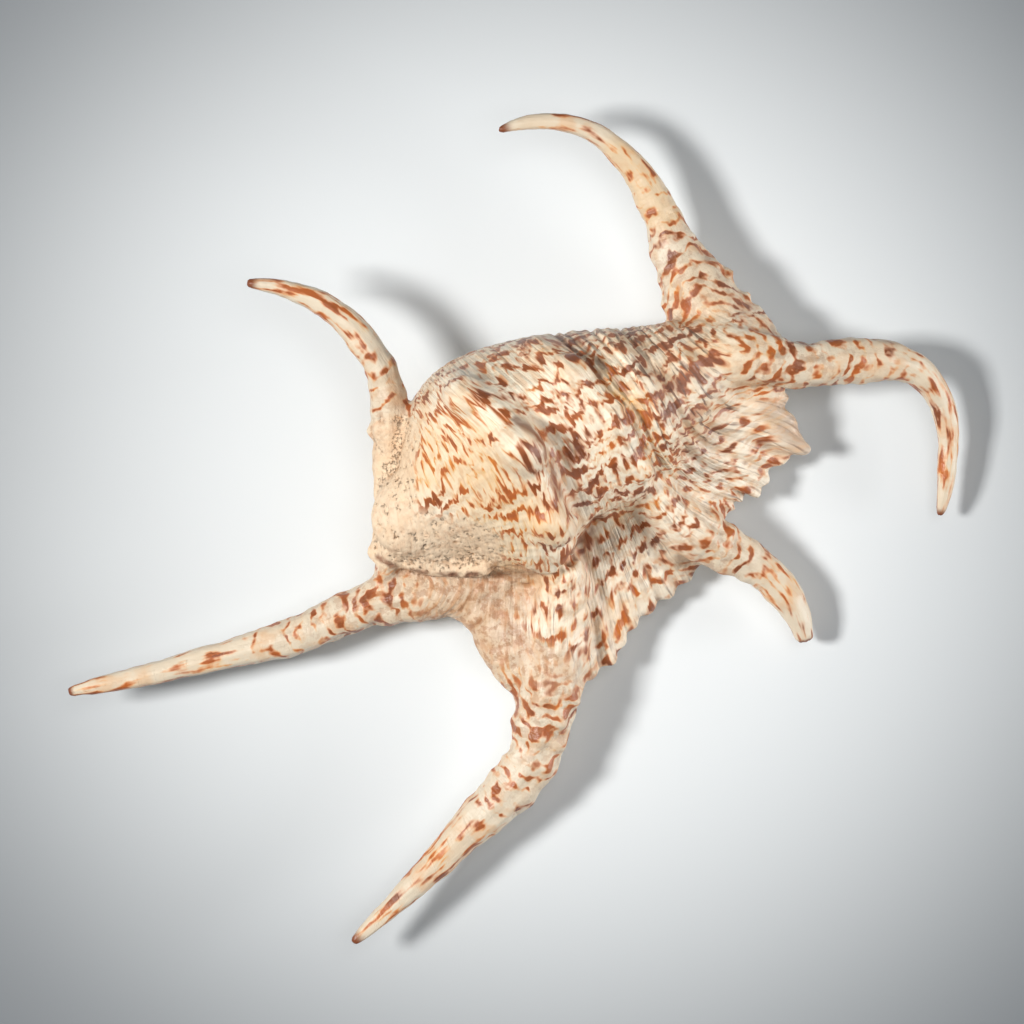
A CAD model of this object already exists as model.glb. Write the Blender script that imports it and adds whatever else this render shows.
"""Looks of a chiragra spider conch shell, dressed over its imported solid.

Lengths in this file are millimetres unless a name says metres. The drawing that the places below were
read from has its origin a little off the row frame's: DRAWING_SHIFT moves one onto the other.
+X runs along the coiling axis towards the siphonal canal, -Y is the side of the flared lip, +Z is up.
"""

import logging
import math
from dataclasses import dataclass, field
from enum import Enum

import bpy
import numpy as np
from mathutils import Matrix, Vector, noise


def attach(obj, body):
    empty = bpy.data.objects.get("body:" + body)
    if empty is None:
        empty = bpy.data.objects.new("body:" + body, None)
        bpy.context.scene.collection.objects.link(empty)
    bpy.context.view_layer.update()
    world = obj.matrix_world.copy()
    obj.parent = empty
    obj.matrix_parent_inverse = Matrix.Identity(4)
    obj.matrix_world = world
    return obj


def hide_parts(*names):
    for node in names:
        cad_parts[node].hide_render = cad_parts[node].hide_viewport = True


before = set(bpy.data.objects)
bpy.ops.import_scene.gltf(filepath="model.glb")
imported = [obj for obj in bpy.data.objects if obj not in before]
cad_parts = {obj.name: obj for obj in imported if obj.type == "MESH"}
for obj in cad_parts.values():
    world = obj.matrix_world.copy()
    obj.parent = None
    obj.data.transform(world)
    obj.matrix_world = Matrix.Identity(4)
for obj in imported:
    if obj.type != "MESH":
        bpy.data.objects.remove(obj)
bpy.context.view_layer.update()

MM = 0.001
DRAWING_SHIFT = (-0.44, -1.12)
CIRCLE = 2 * math.pi
LOG = logging.getLogger("spider_conch")

Array = np.ndarray
Line = tuple[tuple[float, float], ...]
Colour = tuple[float, float, float, float]
Socket = bpy.types.NodeSocket
Term = "Signal | float"


def srgb(red: int, green: int, blue: int) -> Colour:
    """Turns a screen colour into Blender's linear one.

    Args:
        red, green, blue: Each from 0 to 255.

    Returns:
        Linear red, green, blue and an alpha of 1.
    """
    shares = (red / 255, green / 255, blue / 255)
    linear = [s / 12.92 if s <= 0.04045 else ((s + 0.055) / 1.055) ** 2.4 for s in shares]
    return (*linear, 1.0)


def smoothstep(low: float, high: float, value: Array) -> Array:
    """Rises smoothly from 0 at low to 1 at high, or falls where low is above high."""
    share = np.clip((value - low) / (high - low), 0.0, 1.0)
    return share * share * (3 - 2 * share)


def follow(places: Array, values: Array, at: Array) -> Array:
    """Reads a smooth curve through (place, value) pairs.

    Args:
        places: Rising places along the curve.
        values: One value or one row of values at each place.
        at: Where to read it.

    Returns:
        The values there.
    """
    slopes = np.gradient(values, places, axis=0)
    at = np.clip(at, places[0], places[-1])
    i = np.clip(np.searchsorted(places, at) - 1, 0, len(places) - 2)
    span = (places[i + 1] - places[i])[:, None]
    t = (at - places[i])[:, None] / span
    rise = values[i + 1] - values[i]
    return (values[i] + rise * t * t * (3 - 2 * t) + span * slopes[i] * t * (1 - t) ** 2
            - span * slopes[i + 1] * t * t * (1 - t))


def noise_at(points: Array, scale: float | tuple[float, float, float] = 1.0, seed: float = 0.0) -> Array:
    """Smooth noise between about -1 and 1 at each point.

    Args:
        points: Rows of x, y, z.
        scale: Waves per millimetre, one number or one for each axis.
        seed: Shifts the noise, so that two uses differ.

    Returns:
        One number for each point.
    """
    scaled = points * np.asarray(scale) + seed
    return np.fromiter((noise.noise(Vector(row)) for row in scaled), float, len(scaled))


def cloud_at(points: Array, scale: float, seed: float = 0.0) -> Array:
    """Noise with finer noise on it, between about -1 and 1."""
    return noise_at(points, scale, seed) + 0.5 * noise_at(points, 2.1 * scale, seed + 7.3)


def placed(name: str, data: bpy.types.ID) -> bpy.types.Object:
    """Makes an object from its data and links it to the scene.

    Args:
        name: The object's name.
        data: Its mesh, camera or light.

    Returns:
        The object.
    """
    made = bpy.data.objects.new(name, data)
    bpy.context.scene.collection.objects.link(made)
    return made


def evaluated(thing: bpy.types.Object) -> bpy.types.Mesh:
    """A new mesh of an object with its modifiers applied."""
    bpy.context.view_layer.update()
    return bpy.data.meshes.new_from_object(thing.evaluated_get(bpy.context.evaluated_depsgraph_get()))


@dataclass(frozen=True)
class Digit:
    """One of the curved, finger-like digits.

    Attributes:
        route: (x, y, z, radius) from its root in the body to its tip, in the drawing.
        free_from: How far along it from the root it has its own sculpture.
        ribs: How many low ribs run along it.
        groove: How deep the groove along its underside is, as a share of its radius.
        dark_tip: How long the dark end is.
        draw_out: How much further than the solid's its tip reaches.
        knobbly: How lumpy its root is.
    """

    name: str
    route: tuple[tuple[float, float, float, float], ...]
    free_from: float
    ribs: int = 7
    groove: float = 0.40
    dark_tip: float = 2.0
    draw_out: float = 1.0
    knobbly: float = 1.0


DIGITS = (
    Digit("posterior_lip", (
        (-6, -23, 17.5, 4.5), (-15, -19, 16.5, 6.0), (-24, -14, 16, 7.2), (-32, -9.6, 16, 7.2), (-39, -6.6, 16, 6.4),
        (-47.6, -4.5, 15.5, 5.7), (-62.2, -1.3, 15.5, 5.4), (-75.8, 3.3, 16, 4.4), (-89.1, 8.3, 17, 3.6),
        (-102.2, 13.5, 18.5, 3.1), (-115.2, 19, 20.5, 2.4), (-120.5, 21.2, 21.5, 2.0)), 26, dark_tip=1.0,
        draw_out=0.4),
    Digit("long_lip", (
        (9, -25, 25, 6.0), (4, -33, 20.5, 7.8), (-5, -43, 17.5, 9.2), (-15, -53, 16.4, 9.2), (-23.0, -60.6, 16, 7.8),
        (-30.4, -66.1, 15, 7.0), (-42.4, -69.6, 14, 6.6), (-54.9, -71.4, 14, 5.5), (-69.9, -74.4, 15, 4.1),
        (-81.7, -76.3, 16, 3.2), (-94.6, -78, 17.5, 1.9)), 34, ribs=8, dark_tip=2.0,
        draw_out=2.6, knobbly=2.0),
    Digit("short_lip", (
        (39, -21, 29, 5.0), (40, -31, 23, 6.4), (42, -39.5, 18.5, 7.6), (45, -46.5, 15.5, 6.9),
        (49.2, -53.6, 13.2, 5.8), (52.1, -60.3, 11.5, 5.3), (53.1, -67.8, 10.5, 5.0), (52.7, -74.5, 9.5, 4.3),
        (50.8, -80.5, 8.5, 3.4)), 24, ribs=6, dark_tip=0.8, draw_out=1.9, knobbly=1.6),
    Digit("anterior_lip", (
        (69, -2, 25.5, 6.5), (76.1, -5.5, 25.8, 8.0), (82.4, -11, 25.4, 7.4), (88, -17, 25, 6.6),
        (94.6, -21.8, 24.5, 6.2), (100.9, -24.9, 23, 6.3), (106.4, -28.4, 21, 6.3), (111.8, -32.5, 19, 5.6),
        (116.4, -38.2, 16.5, 4.7), (117.9, -44, 14.5, 4.0), (117.5, -50.6, 12.5, 3.6), (114.9, -57.1, 11, 3.2),
        (110.5, -63.5, 10, 2.9), (105.5, -69.6, 9, 2.5), (101.2, -74, 8.2, 1.6)), 14, dark_tip=1.5, draw_out=1.9),
    Digit("siphonal", (
        (72, -4, 18, 10), (78, 2, 17, 11), (79.6, 10, 17, 10.6), (80.9, 18, 17, 8.8), (81.8, 26, 17.5, 6.6),
        (83.7, 33.3, 18, 5.3), (84.8, 40.1, 19, 4.9), (85.3, 46.4, 20, 4.4), (84.7, 53.1, 21.5, 3.8),
        (83.1, 59.8, 23, 3.2), (80.5, 65.5, 24.5, 2.9), (76.1, 70.6, 26, 2.6), (70.6, 74.6, 27.5, 2.3),
        (65.6, 76.9, 29, 2.0), (61.5, 78.1, 30, 1.5)), 13, groove=0.15, dark_tip=2.5),
    Digit("posterior_canal", (
        (-29.5, 3.5, 17, 3.4), (-22.5, 11.8, 20, 3.8), (-14.8, 22.3, 24, 4.5), (-7.8, 31.2, 27.5, 5.0),
        (-3.6, 38.4, 30, 4.9), (-1.5, 45, 32, 4.5), (-1.4, 52.3, 33, 4.3), (-2.3, 60, 34, 3.8),
        (-4.6, 67.3, 35, 3.4), (-8.4, 73.1, 36, 2.9), (-12.9, 78.6, 37, 2.3), (-17.2, 82.4, 38, 1.7)),
        22, groove=0.2, dark_tip=2.0),
)


# Lines that the spiral cords follow in plan, from the columella side over the body to the lip's edge. The
# number is a line's place across the cords: its distance along the coiling axis at the body's top.
CORD_LINES = {
    -26: ((-17, 22), (-23, 12), (-28, 4), (-34, -4)),
    -12: ((-6, 28), (-9, 18), (-11, 8), (-12, -2), (-14, -11), (-18, -16), (-26, -19)),
    0: ((2, 32), (2, 18), (1, 5), (-1, -8), (-4, -18), (-9, -26), (-16, -36), (-20, -46)),
    9: ((7, 33), (9, 18), (10, 4), (8, -10), (4, -22), (-3, -33), (-11, -44), (-17, -54)),
    15: ((10.5, 33), (14, 20), (17.3, 4), (14, -14), (9, -27), (3, -38), (-5, -49), (-9, -58)),
    20: ((15, 34), (19, 20), (22, 4), (19.5, -12), (15, -26), (9, -40), (3, -57)),
    28: ((25, 33), (28.5, 15), (29.5, 0), (28, -14), (25, -27), (21, -42), (18, -54)),
    34: ((31, 31.5), (35, 12), (35.5, 0), (34, -14), (32, -27), (31, -42), (31, -53)),
    40: ((37, 29), (40.5, 10), (41.8, -3), (40, -17), (40, -30), (43, -42), (47, -51)),
    46: ((44, 25), (47, 8), (48, -5), (46, -17), (47, -27), (51, -37), (55, -43)),
    53: ((54, 20), (54, 5), (53, -8), (50.5, -18), (54, -27), (60, -36), (65, -45)),
    60: ((60, 15), (61.5, 2), (61, -8), (61.5, -16), (66, -24), (73, -32), (78, -39)),
    67: ((67, 12), (69, 2), (70.5, -6), (73, -12), (79, -18), (85, -25)),
    75: ((73, 12), (77, 2), (81, -5), (86, -12), (92, -18)),
    84: ((80, 24), (85, 12), (89, 2), (92, -8)),
}


@dataclass(frozen=True)
class Zone:
    """A soft-edged stretch of the surface round a line in plan: full up to its reach, gone after its fade."""

    line: Line
    reach: float
    fade: float

    def weight(self, plan: Array) -> Array:
        """How much of the zone there is at each (x, y), from 0 to 1."""
        return smoothstep(self.reach + self.fade, self.reach, distance_to_line(plan, self.line)[0])


def distance_to_line(plan: Array, line: Line) -> tuple[Array, Array]:
    """Measures from points to a line of straight pieces, in plan.

    Args:
        plan: Rows of x, y.
        line: Points of the line.

    Returns:
        The distance of each point, and the same distance with a sign: positive to the line's right.
    """
    best = np.full(len(plan), np.inf)
    signed = np.zeros(len(plan))
    for start, end in zip(np.array(line[:-1], float), np.array(line[1:], float)):
        run = end - start
        share = np.clip(((plan - start) @ run) / (run @ run), 0, 1)
        away = plan - start - share[:, None] * run
        reach = np.hypot(away[:, 0], away[:, 1])
        side = np.where(run[0] * away[:, 1] - run[1] * away[:, 0] < 0, 1.0, -1.0)
        closer = reach < best
        signed[closer] = (side * reach)[closer]
        best = np.minimum(best, reach)
    return best, signed


# Lines and zones on the surface in plan, in the drawing: where the ledge, the crease and the tints lie.
LEDGE_LINE = ((-33, 7.5), (-31.2, 4.2), (-27.2, -0.6), (-20.5, -7.4), (-13.6, -12.6), (-7.5, -16.5))
CREASE_LINE = ((-24, -12), (-12, -16), (-6, -22), (0, -27.5), (6, -29), (12, -27.5), (18, -25.5), (40, -25),
               (54, -20.5), (68, -16), (80, -14))
CALLUS = (
    Zone(((-10, 27), (-17, 18), (-22, 9), (-28, 5)), 4.5, 4.0),
    Zone(((-24, 5), (-18, -3), (-10, -10)), 6.0, 5.0),
)
PEACH = (
    Zone(((-40, -7), (-28, -11), (-17, -16), (-8, -22)), 6.0, 6.0),
    Zone(((-22, -24), (-19, -40), (-14, -50)), 6.0, 6.0),
)
DUSK = (
    Zone(((-2, 36), (14, 38), (28, 36), (44, 28), (62, 17), (72, 12)), 6.0, 9.0),
    Zone(((62, 8), (63, -4), (60, -13)), 6.5, 6.0),
    Zone(((74, 12), (84, 12)), 7.0, 7.0),
    Zone(((22, 2), (21, -12), (16, -26)), 1.2, 4.5),
)
CORDED = (
    Zone(((47, 20), (48, 4), (46, -16)), 4.0, 5.0),
    Zone(((60, 14), (64, 0), (60, -13)), 9.0, 5.0),
)
GOLDEN = (
    Zone(((84, 36), (85, 46), (84, 54)), 3.0, 5.0),
    Zone(((-6, 18), (4, 6), (2, -10)), 5.0, 10.0),
    Zone(((46, 8), (47, -8), (45, -18)), 1.0, 3.0),
)
PLAIN = (
    Zone(((84, -18), (80.5, -24), (79.2, -30), (80, -38)), 3.0, 3.5),
)


@dataclass(frozen=True)
class Swell:
    """A rounded knob or, with a height below 0, a hollow. At its reach it has sunk to about a third."""

    place: tuple[float, float]
    height: float
    reach: float


@dataclass(frozen=True)
class Furrow:
    """A groove along a line in plan. At its reach from the line it is about a third as deep."""

    line: Line
    depth: float
    reach: float


@dataclass(frozen=True)
class Pull:
    """A place where the surface is drawn out into a point. At its reach the shift is about a third."""

    place: tuple[float, float, float]
    shift: tuple[float, float, float]
    reach: float

    def at(self, drawn: Array) -> Array:
        """The shift of each point, as rows of x, y, z."""
        nearness = np.exp(-((drawn - np.array(self.place)) ** 2).sum(1) / self.reach ** 2)
        return nearness[:, None] * np.array(self.shift)


SWELLS = (
    Swell((10.5, 24.8), 1.4, 4.4), Swell((16.5, 24.7), -0.9, 3.4),
    Swell((16.0, 6.0), 1.9, 5.2), Swell((14.5, -5.0), -0.7, 4.4),
    Swell((10.8, -15.9), 1.5, 4.6), Swell((8.5, -24.0), 0.9, 3.0),
    Swell((37.8, 12.8), 1.3, 3.6), Swell((36.4, 22.0), 0.7, 3.0), Swell((44.3, -0.6), 0.8, 2.8),
    Swell((42.2, -8.6), 0.8, 2.8), Swell((41.0, -17.5), 0.7, 2.6),
    Swell((51.2, -1.0), 1.0, 2.8), Swell((52.0, -8.6), 0.6, 2.4), Swell((53.0, 12.0), 0.6, 2.8),
)
FURROWS = (
    Furrow(((25.0, 14.0), (24.6, 2.6), (22.2, -6.8), (19.0, -16.5)), 1.3, 2.4),
    Furrow(((21.8, -23.5), (15.5, -25.7), (10.4, -27.6)), 1.7, 1.7),
    Furrow(((10.4, -27.6), (3.4, -30.4), (-6.0, -24.5)), 0.7, 1.1),
    Furrow(((-15.5, -16.6), (-4.0, -22.0), (3.6, -27.6)), 0.6, 0.9),
)
ROUGH = (Zone(((2, -34), (-6, -44), (-12, -54)), 9.0, 8.0),)
LIP_EDGE = ((-18, -52), (-8, -57.7), (4, -60), (20, -56.4), (34, -55.2), (47, -51), (64, -44.4), (80, -38),
            (88, -28))
# The hollow inside the aperture, as an ellipsoid in the drawing: its middle and half its sizes.
CAVE_MIDDLE = (22.0, -13.0, 6.0)
CAVE_HALF = (40.0, 11.5, 27.5)
# Cord numbers of the deeper grooves, the coiling axis's y by x, and how many cords lie before a cord number.
TWIN_GROOVES = (43.6, 45.4, 50.3, 56.5)
AXIS_Y = ((-30, 0, 40, 90), (2, 3, 1, -2))
CORD_COUNT = ((-30, 25, 45, 90), (-9.0, 8.0, 15.0, 36.0))
# The point of the lip's edge beside the anterior digit, and the fine dark lines in the main furrows.
BEAK = Pull((78.6, -34.0, 14.0), (1.6, -4.6, -1.0), 4.8)
ARCS = (
    Zone(((19.5, 11.5), (22.0, 5.0), (21.0, -2.0), (18.5, -11.0)), 0.3, 1.8),
    Zone(((24.0, -22.0), (15.5, -25.7), (10.4, -27.6)), 0.5, 1.4),
    Zone(((41.5, 28.0), (44.6, 12.0), (45.2, 0.0), (43.6, -12.0), (42.0, -22.0)), 0.15, 0.7),
    Zone(((44.5, 27.0), (47.4, 11.0), (48.0, -1.0), (46.4, -12.0), (44.5, -22.0)), 0.1, 0.6),
    Zone(((-31.6, 3.2), (-28.8, -2.8), (-20.8, -10.2), (-12.5, -15.8)), 0.3, 1.0),
)


class Relief(float, Enum):
    """The layers of relief, and the height of each in millimetres."""

    CORDS = 0.24
    TWIN_GROOVES = 0.60
    WRINKLES = 0.22
    UNEVENNESS = 0.34
    LIP_FOLDS = 0.42
    EDGE_FOLDS = 1.3
    LIRAE = 0.20
    PITS = 0.60
    DIGIT_RIBS = 0.14
    DIGIT_RINGS = 0.26
    DIGIT_LUMPS = 0.58
    ROOT_KNOBS = 0.75
    ROUGH_LUMPS = 0.8


@dataclass
class Fields:
    """What is known at each vertex of the skin. Every array has one entry, or one row, for each vertex."""

    across: Array
    along: Array
    cord_phase: Array
    digit: Array
    digit_place: Array
    digit_turn: Array
    digit_radius: Array
    digit_ribs: Array
    digit_groove: Array
    digit_root: Array
    digit_knobs: Array
    pull: Array
    tip: Array
    edge: Array
    arcs: Array
    below: Array
    lip: Array
    under: Array
    callus: Array
    peach: Array
    dusk: Array
    corded: Array
    golden: Array
    plain: Array
    mouth: Array
    hollow: Array = field(default_factory=lambda: np.zeros(0))


@dataclass
class ShellSkin:
    """The visible surface of the shell: the solid's surface, made fine and given its sculpture.

    Attributes:
        node: Name of the solid that it stands for.
        voxel: Size of the fine mesh's cells.
        fairing_rounds: How often the mesh is faired before the sculpture.
        most_triangles: What the finished skin is thinned to, flat places first.
        axis_height: Height of the coiling axis.
        turn_radius: What a turn round the axis measures along the cords, as a radius.
        cord_stiffness: How smooth the plate that spreads the cord lines is.
        digit_step: Distance between two readings along a digit.
        digit_margin: How far from its middle line a digit may reach.
        hollow_rounds, hollow_depth: How many rounds of neighbours a hollow is measured over, and a full one.
        fold_spacing, lirae_spacing: Distances between the lip's small folds, and the ridges inside it.
    """

    node: str = "shell"
    voxel: float = 0.62
    fairing_rounds: int = 29
    most_triangles: int = 194000
    axis_height: float = 25.0
    turn_radius: float = 31.0
    cord_stiffness: float = 60.0
    digit_step: float = 0.5
    digit_margin: float = 14.0
    hollow_rounds: int = 7
    hollow_depth: float = 0.2
    fold_spacing: float = 2.9
    lirae_spacing: float = 2.7
    points: Array = field(init=False)
    faces: Array = field(init=False)
    edges: Array = field(init=False)

    def build(self, finish: "ShellFinish") -> bpy.types.Object:
        """Makes the skin, dresses it and ties it to the frame.

        Args:
            finish: The shell's finish.

        Returns:
            The finished object.
        """
        self.refine()
        self.fair(self.fairing_rounds)
        fields = self.read_fields()
        self.carve(fields)
        fields.hollow = self.hollows()
        skin = self.make_object(fields)
        skin.data.materials.append(finish.build())
        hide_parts(self.node)
        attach(skin, "root")
        return skin

    def refine(self) -> None:
        """Takes a finely and evenly meshed copy of the solid."""
        copy = placed("fine_copy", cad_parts[self.node].data.copy())
        weld = copy.modifiers.new("weld", "WELD")
        weld.merge_threshold = 0.01 * MM
        remesh = copy.modifiers.new("even_cells", "REMESH")
        remesh.mode = "VOXEL"
        remesh.voxel_size = self.voxel * MM
        mesh = evaluated(copy)
        self.points = np.empty(len(mesh.vertices) * 3)
        mesh.vertices.foreach_get("co", self.points)
        self.points = self.points.reshape(-1, 3) / MM
        self.faces = np.array([face.vertices[:] for face in mesh.polygons if len(face.vertices) == 4])
        self.edges = np.empty(len(mesh.edges) * 2, int)
        mesh.edges.foreach_get("vertices", self.edges)
        self.edges = self.edges.reshape(-1, 2)
        bpy.data.objects.remove(copy)
        bpy.data.meshes.remove(mesh)

    def neighbour_mean(self, values: Array) -> Array:
        """The mean of each vertex's neighbours.

        Args:
            values: One row for each vertex.

        Returns:
            The means, in the same form.
        """
        count = len(self.points)
        ends = np.concatenate([self.edges[:, 0], self.edges[:, 1]])
        others = np.concatenate([self.edges[:, 1], self.edges[:, 0]])
        share = np.bincount(ends, minlength=count)
        sums = np.stack([np.bincount(ends, values[others, k], count) for k in range(values.shape[1])], 1)
        return sums / share[:, None]

    def fair(self, rounds: int) -> None:
        """Evens out the facets of the solid without shrinking its slender parts."""
        for _ in range(rounds):
            for strength in (0.5, -0.52):
                self.points = self.points + strength * (self.neighbour_mean(self.points) - self.points)
        self.points[:, 2] = np.maximum(self.points[:, 2], 0.0)

    def normals(self) -> Array:
        """The unit normal at each vertex."""
        a, b, c, d = (self.points[self.faces[:, k]] for k in range(4))
        face = np.cross(c - a, d - b)
        total = np.zeros_like(self.points)
        for k in range(4):
            for axis in range(3):
                total[:, axis] += np.bincount(self.faces[:, k], face[:, axis], len(self.points))
        return total / np.maximum(np.linalg.norm(total, axis=1), 1e-9)[:, None]

    def read_fields(self) -> Fields:
        """Works out where each vertex is on the body, the lip and the digits.

        Returns:
            The fields that the sculpture and the finish are made from.
        """
        normal = self.normals()
        drawn = self.points - np.array((*DRAWING_SHIFT, 0.0))
        plan = drawn[:, :2]
        x, y, z = drawn.T
        across = self.cord_numbers(plan)
        axis_y = np.interp(x, *AXIS_Y)
        axis_z = np.interp(x, (-40, -15, 45, 88), (6, self.axis_height, self.axis_height, 2))
        turn = np.arctan2(y - axis_y, z - axis_z)
        beyond_crease = distance_to_line(plan, CREASE_LINE)[1]
        lip = smoothstep(-1.0, 4.0, beyond_crease) * smoothstep(36, 26, z)
        along = self.turn_radius * turn - np.maximum(0, beyond_crease) * (z < 34)
        phase = np.interp(across, *CORD_COUNT)
        cave = smoothstep(1.0, 0.85, (((drawn - CAVE_MIDDLE) / CAVE_HALF) ** 2).sum(1))
        below = smoothstep(0.2, -0.3, normal[:, 2]) * smoothstep(20, 12, z)
        rim = smoothstep(17, 4, np.hypot(x - np.clip(x, -8, 52), y + 12.0)) * below
        under = np.maximum(smoothstep(-0.10, -0.45, normal[:, 2]) * smoothstep(24, 16, z), cave)
        ledge = distance_to_line(plan, LEDGE_LINE)[1]
        above_ledge = smoothstep(3.6, 2.4, ledge) * smoothstep(17, 20, z)
        zeros = np.zeros(len(plan))
        fields = Fields(
            across=across, along=along, cord_phase=phase,
            digit=zeros.copy(), digit_place=np.zeros((len(plan), 3)), digit_turn=zeros.copy(),
            digit_radius=np.ones(len(plan)), digit_ribs=np.full(len(plan), 7.0),
            digit_groove=zeros.copy(), digit_root=zeros.copy(), digit_knobs=zeros.copy(),
            tip=zeros.copy(), below=smoothstep(-0.35, -0.8, normal[:, 2]),
            arcs=self.zone(ARCS, plan) * smoothstep(-0.1, 0.4, noise_at(self.points, 0.35, 8.0) + 0.25),
            edge=smoothstep(17, 2, distance_to_line(plan, LIP_EDGE)[0]), lip=lip, under=under,
            callus=self.zone(CALLUS, plan) * above_ledge,
            peach=self.zone(PEACH, plan) * smoothstep(-1.0, 2.0, ledge - 2.0),
            dusk=self.zone(DUSK, plan), corded=self.zone(CORDED, plan), golden=self.zone(GOLDEN, plan),
            plain=self.zone(PLAIN, plan), mouth=np.maximum(rim, cave), pull=BEAK.at(drawn))
        self.read_digits(drawn, fields)
        return fields

    @staticmethod
    def zone(zones: tuple[Zone, ...], plan: Array) -> Array:
        """The strongest of several zones at each point."""
        return np.max([one.weight(plan) for one in zones], axis=0)

    def cord_numbers(self, plan: Array) -> Array:
        """Spreads the numbers of the cord lines over the whole plan as a thin plate would bend.

        Args:
            plan: Rows of x, y.

        Returns:
            The place across the cords at each point.
        """
        knots = np.array([point for line in CORD_LINES.values() for point in line], float)
        numbers = np.array([number for number, line in CORD_LINES.items() for _ in line], float)

        def bend(distance: Array) -> Array:
            """How much the plate bends at a distance from one of its knots."""
            return distance ** 2 * np.log(np.maximum(distance, 1e-6))

        gaps = np.linalg.norm(knots[:, None] - knots[None], axis=2)
        flat = np.hstack([np.ones((len(knots), 1)), knots])
        plate = bend(gaps) + self.cord_stiffness * np.eye(len(knots))
        system = np.block([[plate, flat], [flat.T, np.zeros((3, 3))]])
        weights = np.linalg.solve(system, np.concatenate([numbers, np.zeros(3)]))
        result = weights[-3] + plan @ weights[-2:]
        for knot, weight in zip(knots, weights):
            result += weight * bend(np.hypot(plan[:, 0] - knot[0], plan[:, 1] - knot[1]))
        return result

    def read_digits(self, drawn: Array, fields: Fields) -> None:
        """Fills in the fields that say where each vertex is on a digit.

        Args:
            drawn: Vertices in the drawing's place.
            fields: The fields to fill.
        """
        for index, digit in enumerate(DIGITS):
            route = np.array(digit.route, float)
            reach = np.concatenate([[0], np.cumsum(np.linalg.norm(np.diff(route[:, :3], axis=0), axis=1))])
            places = np.arange(0, reach[-1], self.digit_step)
            course = follow(reach, route, places)
            tangents = np.gradient(course[:, :3], places, axis=0)
            tangents /= np.linalg.norm(tangents, axis=1)[:, None]
            lowest = course[:, :3].min(0) - self.digit_margin
            highest = course[:, :3].max(0) + self.digit_margin
            near = np.flatnonzero(((drawn > lowest) & (drawn < highest)).all(axis=1))
            gaps = ((drawn[near, None, :] - course[None, :, :3]) ** 2).sum(2)
            nearest = gaps.argmin(1)
            offset = drawn[near] - course[nearest, :3]
            tangent = tangents[nearest]
            up = np.array((0, 0, 1.0)) - tangent * tangent[:, 2:3]
            up /= np.linalg.norm(up, axis=1)[:, None]
            side = np.cross(tangent, up)
            height, breadth = (offset * up).sum(1), (offset * side).sum(1)
            radius = course[nearest, 3]
            distance = np.sqrt(gaps[np.arange(len(near)), nearest])
            place = places[nearest] + (offset * tangent).sum(1)
            weight = smoothstep(1.9, 1.35, distance / radius)
            weight *= smoothstep(digit.free_from - 10, digit.free_from + 8, place)
            better = weight > fields.digit[near]
            chosen = near[better]
            LOG.info("digit %s: %d vertices", digit.name, len(chosen))
            fields.digit[chosen] = weight[better]
            to_tip = reach[-1] - place[better]
            fields.digit_place[chosen] = np.stack(
                [to_tip, breadth[better], height[better]], 1) + np.array((31.0 * index, 0, 0))
            fields.digit_turn[chosen] = np.arctan2(breadth[better], height[better])
            fields.digit_radius[chosen] = radius[better]
            fields.digit_ribs[chosen] = digit.ribs
            fields.digit_groove[chosen] = digit.groove * smoothstep(2, 14, to_tip)
            fields.tip[chosen] = smoothstep(1.6 * digit.dark_tip, 0.5 * digit.dark_tip, to_tip)
            share = to_tip / (reach[-1] - digit.free_from)
            fields.digit_root[chosen] = share
            slender = smoothstep(8.0, 0.0, to_tip)[:, None]
            fields.pull[chosen] += slender * (digit.draw_out * tangent[better] - 0.22 * offset[better])
            fields.digit_knobs[chosen] = digit.knobbly * smoothstep(0.5, 0.8, share)

    def carve(self, fields: Fields) -> None:
        """Moves the vertices along their normals by all the layers of relief.

        Args:
            fields: Where each vertex is.
        """
        glazed_strip = 0.85 * fields.digit * fields.below * smoothstep(0.0, 0.25, fields.digit_root)
        fields.under = np.maximum(fields.under * (1 - fields.digit), glazed_strip)
        relief = (1 - fields.digit) * self.body_relief(fields) + fields.digit * self.digit_relief(fields)
        resting = smoothstep(0.5, 2.0, self.points[:, 2])
        self.points = self.points + self.normals() * (relief * resting)[:, None] + fields.pull
        self.points[:, 2] = np.maximum(self.points[:, 2], 0.0)

    def body_relief(self, fields: Fields) -> Array:
        """The relief of the body and the lip, in millimetres."""
        plan = self.points[:, :2] - np.array(DRAWING_SHIFT)
        upper = (1 - fields.under) * smoothstep(11, 17, self.points[:, 2])
        outside = (1 - fields.under) * (1 - fields.callus)
        relief = np.zeros(len(plan))
        for swell in SWELLS:
            away = ((plan - np.array(swell.place)) ** 2).sum(1)
            relief += swell.height * upper * np.exp(-away / swell.reach ** 2)
        for furrow in FURROWS:
            away = distance_to_line(plan, furrow.line)[0]
            relief -= furrow.depth * upper * np.exp(-(away / furrow.reach) ** 2)
        wave = 0.5 + 0.5 * np.cos(CIRCLE * (fields.cord_phase + 0.12 * noise_at(self.points, 0.07, 3.0)))
        strength = 0.45 + 0.75 * np.maximum(fields.corded, 0.4 * fields.lip)
        relief += Relief.CORDS * outside * strength * (wave ** 1.6 - 0.4)
        for number in TWIN_GROOVES:
            groove = np.exp(-((fields.across - number) / 0.55) ** 2) * (1 - 0.7 * fields.lip)
            relief -= Relief.TWIN_GROOVES * outside * groove
        growth = np.stack([0.05 * fields.across, 0.55 * fields.along, np.zeros(len(fields.across))], 1)
        relief += Relief.WRINKLES * outside * (1 + fields.peach) * noise_at(growth, 1.0, 5.0)
        relief += Relief.UNEVENNESS * (1 - fields.under) * cloud_at(self.points, 0.13, 11.0)
        fold = fields.across / self.fold_spacing + 0.35 * noise_at(self.points, 0.06, 15.0)
        ridge = np.abs(np.cos(math.pi * fold)) ** 1.5 - 0.45
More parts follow.
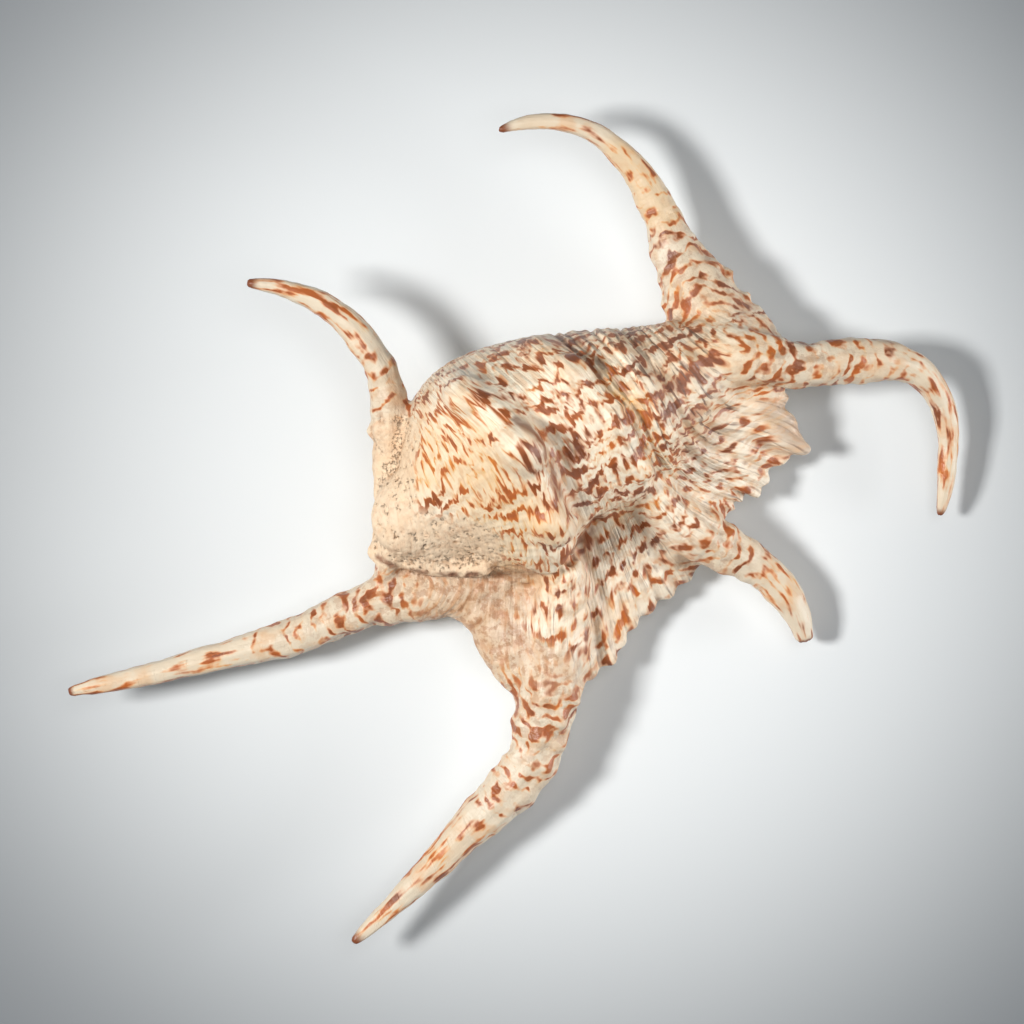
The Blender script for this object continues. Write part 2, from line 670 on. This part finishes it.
        folded = Relief.LIP_FOLDS + Relief.EDGE_FOLDS * fields.edge
        relief += folded * fields.lip * (1 - 0.5 * fields.under) * ridge * smoothstep(11, 20, fields.across)
        relief += Relief.ROUGH_LUMPS * upper * self.zone(ROUGH, plan) * noise_at(self.points, 0.24, 31.0)
        relief += Relief.LIRAE * fields.mouth * np.cos(CIRCLE * fields.across / self.lirae_spacing)
        pits = cloud_at(self.points, 0.55, 21.0) + 0.5 * noise_at(self.points, 1.4, 2.0)
        relief -= Relief.PITS * fields.callus * smoothstep(0.05, 0.75, pits)
        return relief

    def digit_relief(self, fields: Fields) -> Array:
        """The relief of the digits, in millimetres."""
        size = np.clip(fields.digit_radius / 6.0, 0.25, 1.2)
        local = fields.digit_place
        twist = 0.6 * noise_at(local, (0.03, 0.0, 0.0), 9.0)
        relief = Relief.DIGIT_RIBS * size * np.cos(fields.digit_ribs * fields.digit_turn + twist)
        relief += Relief.DIGIT_RINGS * size * noise_at(local, (0.42, 0.06, 0.06), 1.0)
        relief += Relief.DIGIT_LUMPS * size * cloud_at(local, 0.13, 4.0)
        relief += Relief.ROOT_KNOBS * fields.digit_knobs * noise_at(local, 0.22, 14.0)
        below = math.pi - np.abs(fields.digit_turn)
        relief -= fields.digit_groove * fields.digit_radius * np.exp(-(below / 0.3) ** 2)
        return relief

    def hollows(self) -> Array:
        """How deep in a groove or a valley each vertex lies: -1 on a ridge to 1 in a groove."""
        normal = self.normals()
        mean = self.points
        for _ in range(self.hollow_rounds):
            mean = self.neighbour_mean(mean)
        depth = ((mean - self.points) * normal).sum(1)
        return np.clip(depth / self.hollow_depth, -1, 1)

    def make_object(self, fields: Fields) -> bpy.types.Object:
        """Makes the object, with the fields as attributes for the finish.

        Args:
            fields: Where each vertex is.

        Returns:
            The object, linked to the scene.
        """
        mesh = bpy.data.meshes.new("chiragra_shell")
        mesh.from_pydata(self.points * MM, [], self.faces)
        blank = np.zeros(len(self.points))
        layers = {
            "flow": (fields.across, fields.along, blank),
            "digit_place": tuple(fields.digit_place.T),
            "parts": (fields.digit, fields.lip, fields.under),
            "wear": (fields.callus, fields.peach, fields.hollow),
            "tints": (fields.dusk, fields.corded, fields.golden),
            "ends": (fields.tip, fields.mouth, fields.digit_root),
            "accents": (fields.arcs, fields.plain, blank),
        }
        for name, values in layers.items():
            layer = mesh.attributes.new(name, "FLOAT_VECTOR", "POINT")
            layer.data.foreach_set("vector", np.stack(values, 1).astype(np.float32).ravel())
        mesh.shade_smooth()
        skin = placed("chiragra_shell", mesh)
        thin = skin.modifiers.new("thin", "DECIMATE")
        thin.ratio = min(1.0, self.most_triangles / (2 * len(self.faces)))
        skin.data = evaluated(skin)
        skin.data.name = "chiragra_shell"
        skin.modifiers.remove(thin)
        bpy.data.meshes.remove(mesh)
        return skin


class Signal:
    """A number that varies over the surface: it wraps a socket, so that shader maths reads as Python."""

    def __init__(self, graph: "Graph", socket: Socket) -> None:
        """Wraps a socket of a graph."""
        self.graph = graph
        self.socket = socket

    def __add__(self, other: "Term") -> "Signal":
        """self + other."""
        return self.graph.maths("ADD", self, other)

    __radd__ = __add__

    def __mul__(self, other: "Term") -> "Signal":
        """self * other."""
        return self.graph.maths("MULTIPLY", self, other)

    __rmul__ = __mul__

    def __sub__(self, other: "Term") -> "Signal":
        """self - other."""
        return self.graph.maths("SUBTRACT", self, other)

    def __rsub__(self, other: "Term") -> "Signal":
        """other - self."""
        return self.graph.maths("SUBTRACT", other, self)

    def __truediv__(self, other: "Term") -> "Signal":
        """self / other."""
        return self.graph.maths("DIVIDE", self, other)

    def clamped(self) -> "Signal":
        """The number, held between 0 and 1."""
        return self.graph.maths("ADD", self, 0.0, use_clamp=True)

    def floor(self) -> "Signal":
        """The whole number below it."""
        return self.graph.maths("FLOOR", self)

    def wave(self, spacing: float, shift: "Term" = 0.0) -> "Signal":
        """A sine wave along it, from -1 to 1, with its crests a spacing apart and shifted by an angle."""
        return self.graph.maths("SINE", self * (CIRCLE / spacing) + shift)

    def step(self, low: float, high: float) -> "Signal":
        """Rises smoothly from 0 at low to 1 at high, or falls where low is above high."""
        settings = {"interpolation_type": "SMOOTHSTEP"}
        if low < high:
            inputs = {"Value": self, "From Min": low, "From Max": high}
            return self.graph.signal("ShaderNodeMapRange", settings, inputs, "Result")
        inputs = {"Value": self, "From Min": high, "From Max": low}
        return 1 - self.graph.signal("ShaderNodeMapRange", settings, inputs, "Result")


class Graph:
    """The nodes of one material."""

    def __init__(self, name: str) -> None:
        """Starts a material with only its shader and its output."""
        self.material = bpy.data.materials.new(name)
        self.material.use_nodes = True
        self.tree = self.material.node_tree
        self.shader = self.tree.nodes["Principled BSDF"]

    def node(self, kind: str, settings: dict[str, object], inputs: dict[object, object]) -> bpy.types.Node:
        """Adds a node.

        Args:
            kind: The node's type.
            settings: Its settings, which are set first.
            inputs: A value, a signal or a socket for each input, by name or number.

        Returns:
            The node.
        """
        made = self.tree.nodes.new(kind)
        for name, value in settings.items():
            setattr(made, name, value)
        for name, value in inputs.items():
            source = value.socket if isinstance(value, Signal) else value
            if isinstance(source, Socket):
                self.tree.links.new(source, made.inputs[name])
            else:
                made.inputs[name].default_value = source
        return made

    def signal(self, kind: str, settings: dict[str, object], inputs: dict[object, object],
               output: object = 0) -> Signal:
        """Adds a node and wraps one of its outputs."""
        return Signal(self, self.node(kind, settings, inputs).outputs[output])

    def maths(self, operation: str, *values: "Term", use_clamp: bool = False) -> Signal:
        """Adds a Math node."""
        settings = {"operation": operation, "use_clamp": use_clamp}
        return self.signal("ShaderNodeMath", settings, dict(enumerate(values)))

    def layer(self, name: str) -> tuple[Signal, Signal, Signal]:
        """The three numbers of one of the mesh's attributes."""
        vector = self.node("ShaderNodeAttribute", {"attribute_name": name}, {}).outputs["Vector"]
        parts = self.node("ShaderNodeSeparateXYZ", {}, {0: vector})
        return tuple(Signal(self, parts.outputs[k]) for k in range(3))

    def vector(self, x: "Term", y: "Term", z: "Term" = 0.0) -> Socket:
        """A vector of three numbers."""
        return self.node("ShaderNodeCombineXYZ", {}, {0: x, 1: y, 2: z}).outputs[0]

    def noise(self, vector: Socket, scale: float, detail: float = 2.0, rough: float = 0.5) -> Signal:
        """Noise around 0.5."""
        inputs = {"Vector": vector, "Scale": scale, "Detail": detail, "Roughness": rough}
        return self.signal("ShaderNodeTexNoise", {}, inputs, 0)

    def streaked(self, across: "Term", along: "Term", detail: float) -> Signal:
        """Noise over two places, one across and one along the cords."""
        return self.noise(self.vector(across, along), 1.0, detail)

    def stretched(self, vector: Socket, scales: tuple[float, float, float]) -> Socket:
        """A vector with each of its numbers multiplied by a scale."""
        return self.node("ShaderNodeVectorMath", {"operation": "MULTIPLY"}, {0: vector, 1: scales}).outputs[0]

    def mix(self, factor: "Term", first: object, second: object) -> Socket:
        """A colour between two others."""
        settings = {"data_type": "RGBA", "clamp_factor": True}
        return self.node("ShaderNodeMix", settings, {0: factor, 6: first, 7: second}).outputs[2]

    def ramp(self, factor: Signal, stops: tuple[tuple[float, Colour], ...]) -> Socket:
        """A colour that runs through stops.

        Args:
            factor: Where on the ramp.
            stops: (place, colour) pairs.

        Returns:
            The colour's socket.
        """
        made = self.node("ShaderNodeValToRGB", {}, {0: factor})
        while len(made.color_ramp.elements) < len(stops):
            made.color_ramp.elements.new(0.5)
        for element, (place, colour) in zip(made.color_ramp.elements, stops):
            element.position = place
            element.color = colour
        return made.outputs[0]


@dataclass(frozen=True)
class ShellFinish:
    """The shell's colours, its flame marks, gloss and fine threads.

    The ground comes first, then the marks from weak to strong, the casts, the worn places and the glazed
    base. A spacing is the distance from one crest to the next, and cord_spacing is the width of the cords
    that break up the marks.
    """

    cream: Colour = srgb(252, 239, 215)
    warm_cream: Colour = srgb(244, 214, 176)
    cool_cream: Colour = srgb(246, 232, 212)
    gold: Colour = srgb(230, 182, 108)
    orange: Colour = srgb(226, 144, 60)
    rust: Colour = srgb(190, 104, 50)
    umber: Colour = srgb(132, 74, 45)
    tan: Colour = srgb(222, 176, 130)
    bone: Colour = srgb(214, 198, 175)
    plum: Colour = srgb(172, 138, 122)
    shade: Colour = srgb(190, 160, 132)
    line: Colour = srgb(122, 92, 78)
    peach: Colour = srgb(198, 162, 126)
    peach_mark: Colour = srgb(168, 116, 78)
    callus: Colour = srgb(240, 212, 180)
    sand: Colour = srgb(196, 154, 116)
    rim: Colour = srgb(204, 182, 160)
    pit: Colour = srgb(122, 88, 62)
    glaze: Colour = srgb(240, 226, 206)
    glaze_shade: Colour = srgb(232, 208, 182)
    rose: Colour = srgb(222, 150, 116)
    throat: Colour = srgb(150, 72, 54)
    band_spacing: float = 6.8
    lip_row_spacing: float = 6.4
    cord_spacing: float = 1.7
    line_spacing: float = 1.9
    lip_line_spacing: float = 0.95
    fine_cord_spacing: float = 1.55
    striae_spacing: float = 0.7
    crescent_spacing: float = 4.2
    crescent_curve: float = 0.09
    bump_depth: float = 0.40 * MM
    coat_roughness: float = 0.12
    refraction: float = 1.5

    def build(self) -> bpy.types.Material:
        """Makes the material.

        Returns:
            The material, for the whole skin.
        """
        graph = Graph("mottled_shell")
        across, along, _ = graph.layer("flow")
        digit, lip, under = graph.layer("parts")
        callus, peach, hollow = graph.layer("wear")
        dusk, corded, golden = graph.layer("tints")
        tip, mouth, root = graph.layer("ends")
        arcs, plain, _ = graph.layer("accents")
        flow = graph.vector(across, along)
        spot = graph.node("ShaderNodeAttribute", {"attribute_name": "digit_place"}, {}).outputs["Vector"]
        place = graph.node("ShaderNodeTexCoord", {}, {}).outputs["Object"]
        outer = 1 - under
        body = 1 - digit

        cloudy = graph.noise(place, 60.0, 3.0)
        base = graph.mix(cloudy.step(0.42, 0.72), self.cream, self.warm_cream)
        for share, tint in (
                (lip * 0.5 * body, self.cool_cream), (plain * 0.8 * body * outer, self.rim),
                (digit * 0.7, self.bone), (hollow.step(0.15, 1.0) * 0.25 * outer, self.shade),
                (dusk * 0.12 * body * outer, self.plum), (golden * 0.30 * outer, self.gold)):
            base = graph.mix(share, base, tint)

        body_level, body_tan = self.body_marks(graph, across, along, lip, flow)
        digit_level, digit_tan = self.digit_marks(graph, spot, root)
        tanned = (body_tan * body + digit_tan * digit) * (1 - callus) * outer
        base = graph.mix(tanned * 0.5, base, self.tan)
        marks = (body_level * body + digit_level * digit).step(0.0, 0.8)
        faded = (1 - 0.6 * callus) * (1 - 0.85 * plain * body) * outer * (1 - 0.5 * peach * body)
        strength = (marks * faded).clamped()
        tone = graph.noise(flow, 0.10, 3.0)
        depth = (strength * 0.84 + (tone - 0.5) * 1.5 - golden * 0.2).clamped()
        warm = graph.ramp(depth, ((0.0, self.gold), (0.25, self.orange), (0.62, self.rust), (1.0, self.umber)))
        mark_colour = graph.mix(dusk * 0.22 * body, warm, self.plum)
        cover = strength * (1.15 - 0.05 * digit - 0.10 * lip * body)
        colour = graph.mix(cover.clamped(), base, mark_colour)

        peach_cloud = graph.noise(graph.vector(across * 0.5, along), 0.30, 4.0, 0.6)
        peach_colour = graph.mix(peach_cloud.step(0.46, 0.66), self.peach, self.peach_mark)
        colour = graph.mix(peach * 0.55 * body * outer, colour, peach_colour)
        nodules = graph.noise(place, 420.0, 3.0, 0.6)
        nodular = peach * body + root.step(0.45, 0.9) * digit * 0.6 + callus * 0.4
        colour = graph.mix((nodules.step(0.48, 0.60) * nodular * outer * 0.6).clamped(), colour, self.peach_mark)
        sway = graph.streaked(across * 0.6, along * 0.05, 2.0)
        streak = across.wave(self.line_spacing, (sway - 0.5) * 14.0).step(0.4, 1.0)
        broken = graph.streaked(across * 0.5, along * 0.16, 3.0)
        lined = (0.10 + 0.6 * corded + 0.25 * lip + 0.2 * dusk) * (1 - peach)
        lip_streak = across.wave(self.lip_line_spacing, (sway - 0.5) * 16.0).step(0.3, 1.0)
        lines = streak * broken.step(0.40, 0.64) * lined
        lines = lines + lip_streak * broken.step(0.42, 0.6) * lip * (1 - peach) * 0.38
        colour = graph.mix(lines.clamped() * body * outer * (1 - callus), colour, self.line)
        pricks = graph.noise(place, 1100.0, 4.0, 0.65).step(0.50, 0.66)
        clusters = graph.noise(place, 170.0, 2.0).step(0.32, 0.5)
        pits = pricks * clusters * (0.12 + hollow.step(-0.3, 0.7) + arcs * 0.5)
        grit = graph.noise(place, 420.0, 5.0, 0.7).step(0.44, 0.66) * graph.noise(place, 70.0, 3.0).step(0.36, 0.6)
        sandy = graph.mix(grit * (0.35 + hollow.step(-0.6, 0.5)), self.callus, self.sand)
        callus_colour = graph.mix(pits.clamped() * 0.66, sandy, self.pit)
        colour = graph.mix(callus * 0.78, colour, callus_colour)
        colour = graph.mix(arcs * cloudy.step(0.15, 0.45) * 0.8 * body * outer, colour, self.umber)
        colour = graph.mix(tip, colour, self.umber)
        glaze = graph.mix(cloudy.step(0.35, 0.7), self.glaze, self.glaze_shade)
        glaze = graph.mix(mouth.step(0.15, 0.75), glaze, self.rose)
        glaze = graph.mix(mouth.step(0.75, 1.0) * 0.8, glaze, self.throat)
        colour = graph.mix(under, colour, glaze)

        rough = 0.44 + (cloudy - 0.5) * 0.2 + callus * 0.3 - under * 0.24 - strength * 0.05
        cords = across.wave(self.fine_cord_spacing, (sway - 0.5) * 8.0)
        striae = across.wave(self.striae_spacing, (sway - 0.5) * 12.0)
        threads = graph.noise(graph.vector(across, along * 0.06), 2.2, 3.0, 0.6)
        growth = graph.noise(graph.vector(across * 0.08, along * 0.9), 1.0, 3.0, 0.6)
        digit_threads = graph.noise(graph.stretched(spot, (0.12, 1.0, 1.0)), 1.7, 3.0)
        digit_rings = graph.noise(graph.stretched(spot, (1.0, 0.12, 0.12)), 0.8, 3.0)
        grain = graph.noise(place, 900.0, 4.0)
        body_height = cords * 0.14 * (1 - 0.5 * lip) + striae * 0.12 * lip * (1 - peach)
        body_height = body_height + threads * 0.5 + growth * 0.45
        digit_height = digit_threads * 0.5 + digit_rings * (0.2 + 0.8 * root.step(0.3, 0.8))
        height = (body_height * body + digit_height * digit) * outer + 0.4 * grain * (1 - 0.8 * under)
        height = height - pits * callus * 1.8 - lines * 0.3 * outer - nodules * nodular * 1.3 * outer
        bump = graph.node("ShaderNodeBump", {}, {"Strength": 0.8, "Distance": self.bump_depth, "Height": height})
        for name, source in {"Base Color": colour, "Roughness": rough.clamped().socket,
                             "Normal": bump.outputs[0], "Coat Weight": (under * 0.5).socket}.items():
            graph.tree.links.new(source, graph.shader.inputs[name])
        graph.shader.inputs["Coat Roughness"].default_value = self.coat_roughness
        graph.shader.inputs["IOR"].default_value = self.refraction
        return graph.material

    def body_marks(self, graph: Graph, across: Signal, along: Signal, lip: Signal,
                   flow: Socket) -> tuple[Signal, Signal]:
        """The flame marks of the body and the lip: bands across the cords, broken and shifted at each cord.

        Args:
            graph: The material's nodes.
            across: Place across the cords.
            along: Place along the cords.
            lip: How much of the lip there is.
            flow: Both places as a vector.

        Returns:
            The marks' level, over 0 in a mark, and how strong the tan cast between them.
        """
        cord = (across / self.cord_spacing).floor()
        jitter = graph.signal("ShaderNodeTexWhiteNoise", {"noise_dimensions": "1D"}, {"W": cord}, "Value")
        bend = graph.streaked(across * 0.10, along * 0.07, 2.0)
        zigzag = graph.streaked(across * 0.42, along * 0.09, 1.5)
        teeth = graph.streaked(across * 1.1, along * 0.12, 0.0)
        front = across.step(15, 25)
        ragged = (zigzag - 0.5) * (9.0 - front * 5.0) * (1 - 0.8 * lip) + (teeth - 0.5) * 2.2 + (jitter - 0.5)
        shifted = along + (bend - 0.5) * 13.0 * (1 - 0.5 * lip) + ragged
        bands = shifted.wave(self.band_spacing)
        patches = graph.streaked(across * 0.20, shifted * 0.20, 1.0)
        streaks = graph.streaked(across * 0.80, shifted * 0.26 + 40.0, 1.5)
        maze = graph.streaked(across * 0.52, shifted * 0.32 + 40.0, 1.5)
        flecks = streaks * (1 - front) + maze * front
        crowd = graph.noise(flow, 0.055, 2.0)
        level = bands * 0.24 + (patches - 0.5) * 1.6 + (flecks - 0.5) * 3.5
        level = level + (crowd - 0.5) + front * 0.10 - 0.06
        rows = shifted.wave(self.lip_row_spacing)
        blotches = graph.streaked(across * 0.66, shifted * 0.23 + 90.0, 1.5)
        lip_level = rows * 0.28 + (blotches - 0.5) * 4.4 - 0.12
        level = level * (1 - lip) + lip_level * lip + 0.22
        undertone = graph.streaked(across * 0.50, shifted * 0.36 - 30.0, 1.5)
        return level, undertone.step(0.44, 0.68)

    def digit_marks(self, graph: Graph, spot: Socket, root: Signal) -> tuple[Signal, Signal]:
        """The marks of the digits: crescents near the root, dashes along towards the tip.

        Args:
            graph: The material's nodes.
            spot: Place on the digit: from the tip, sideways and up.
            root: Place between the tip, 0, and the root, 1.

        Returns:
            The marks' level, over 0 in a mark, and how strong the tan cast between them.
        """
        parts = graph.node("ShaderNodeSeparateXYZ", {}, {0: spot}).outputs
        reach, side = Signal(graph, parts[0]), Signal(graph, parts[1])
        dashes = graph.noise(graph.stretched(spot, (0.11, 0.62, 0.62)), 1.0, 1.5)
        wander = graph.noise(graph.stretched(spot, (0.16, 0.16, 0.16)), 1.0)
        patches = graph.noise(graph.stretched(spot, (0.22, 0.26, 0.26)), 1.0)
        curved = reach - side * side * self.crescent_curve + (wander - 0.5) * 11.0
        crescents = curved.wave(self.crescent_spacing)
        nearer = root.step(0.38, 0.68)
        ring_level = crescents * 0.50 + (patches - 0.5) * 3.4 + root.step(0.66, 0.95) * 0.26
        dash_level = (dashes - 0.5) * 3.4 + (patches - 0.5) * 1.4 + 0.17
        level = ring_level * nearer + dash_level * (1 - nearer)
        return level, wander.step(0.48, 0.68)


@dataclass(frozen=True)
class Lamp:
    """A square soft light that looks at the shell.

    Its place is right and up in the photograph and above the floor. That and its side, the size, are in
    metres, and its power is in watts.
    """

    name: str
    place: tuple[float, float, float]
    size: float
    power: float
    colour: tuple[float, float, float]


LAMPS = (
    Lamp("key", (-0.82, 0.0, 1.08), 0.25, 18.0, (1.0, 0.975, 0.94)),
    Lamp("overhead", (0.25, 0.1, 1.5), 0.7, 5.0, (0.98, 0.99, 1.0)),
    Lamp("fill", (1.40, -0.10, 0.28), 0.55, 13.5, (1.0, 0.99, 0.98)),
)


@dataclass
class Studio:
    """The floor, the lights and the camera.

    Attributes:
        turn: How far the photograph's level is turned from the coiling axis, in degrees.
        middle: What the camera looks at, in the row frame.
        distance: Camera's height over the floor.
        pixel: Width of one of the photograph's pixels at middle_height, the height of the shell's middle.
        floor_colour, floor_edge: The floor's colours near the shell and further away.
        floor_shift: How far right and up from the camera's middle the pale part's middle lies.
        floor_fade: Distances from there, in metres, over which one colour turns into the other.
        surround, surround_strength: The light from all around.
    """

    turn: float = 35.0
    middle: tuple[float, float] = (4.56, -8.6)
    distance: float = 1400.0
    pixel: float = 0.27
    middle_height: float = 20.0
    sensor: float = 36.0
    photo_width: int = 1024
    floor_half: float = 3000.0
    floor_colour: Colour = srgb(229, 234, 237)
    floor_edge: Colour = srgb(112, 117, 122)
    floor_shift: tuple[float, float] = (9.0, 7.0)
    floor_fade: tuple[float, float] = (0.06, 0.225)
    surround: Colour = srgb(226, 232, 240)
    surround_strength: float = 0.07

    def build(self) -> None:
        """Makes the whole studio."""
        self.floor()
        self.camera()
        for lamp in LAMPS:
            self.light(lamp)
        world = bpy.data.worlds.new("soft_surround")
        world.use_nodes = True
        background = world.node_tree.nodes["Background"]
        background.inputs["Color"].default_value = self.surround
        background.inputs["Strength"].default_value = self.surround_strength
        bpy.context.scene.world = world
        bpy.context.scene.view_settings.view_transform = "Standard"

    def towards(self, right: float, up: float) -> tuple[float, float]:
        """Turns a direction in the photograph into one in plan."""
        angle = math.radians(self.turn)
        return (right * math.cos(angle) + up * math.sin(angle), up * math.cos(angle) - right * math.sin(angle))

    def floor(self) -> None:
        """A wide pale floor that darkens gently away from the shell."""
        half = self.floor_half * MM
        mesh = bpy.data.meshes.new("floor")
        corners = [(-half, -half, 0), (half, -half, 0), (half, half, 0), (-half, half, 0)]
        mesh.from_pydata(corners, [], [(0, 1, 2, 3)])
        graph = Graph("pale_floor")
        spot = graph.node("ShaderNodeTexCoord", {}, {}).outputs["Object"]
        right, up = self.towards(*self.floor_shift)
        middle = ((self.middle[0] + right) * MM, (self.middle[1] + up) * MM, 0)
        reach = graph.signal("ShaderNodeVectorMath", {"operation": "DISTANCE"}, {0: spot, 1: middle}, "Value")
        colour = graph.mix(reach.step(*self.floor_fade), self.floor_colour, self.floor_edge)
        graph.tree.links.new(colour, graph.shader.inputs["Base Color"])
        graph.shader.inputs["Roughness"].default_value = 0.6
        mesh.materials.append(graph.material)
        floor = placed("floor", mesh)

    def camera(self) -> None:
        """A camera straight above the shell, turned as the photograph is."""
        data = bpy.data.cameras.new("overhead_camera")
        data.sensor_width = self.sensor
        width = self.pixel * self.photo_width
        data.lens = self.sensor * (self.distance - self.middle_height) / width
        camera = placed("overhead_camera", data)
        place = Matrix.Translation(Vector((*self.middle, self.distance)) * MM)
        camera.matrix_world = place @ Matrix.Rotation(-math.radians(self.turn), 4, "Z")
        bpy.context.scene.camera = camera

    def light(self, lamp: Lamp) -> None:
        """Adds one of the lights.

        Args:
            lamp: The light's place, size, power and colour.
        """
        data = bpy.data.lights.new(lamp.name, "AREA")
        data.size = lamp.size
        data.energy = lamp.power
        data.color = lamp.colour
        light = placed(lamp.name, data)
        stand = Vector((*self.towards(*lamp.place[:2]), lamp.place[2]))
        light.matrix_world = Matrix.Translation(stand) @ (-stand).to_track_quat("-Z", "Y").to_matrix().to_4x4()


def main() -> None:
    """Builds the shell and the studio, and reports each piece."""
    logging.basicConfig(level=logging.INFO, format="%(name)s: %(message)s")
    skin = ShellSkin().build(ShellFinish())
    LOG.info("%s: %d faces", skin.name, len(skin.data.polygons))
    Studio().build()
    LOG.info("studio: floor, %d soft lights, camera above", len(LAMPS))


if __name__ == "__main__":
    main()
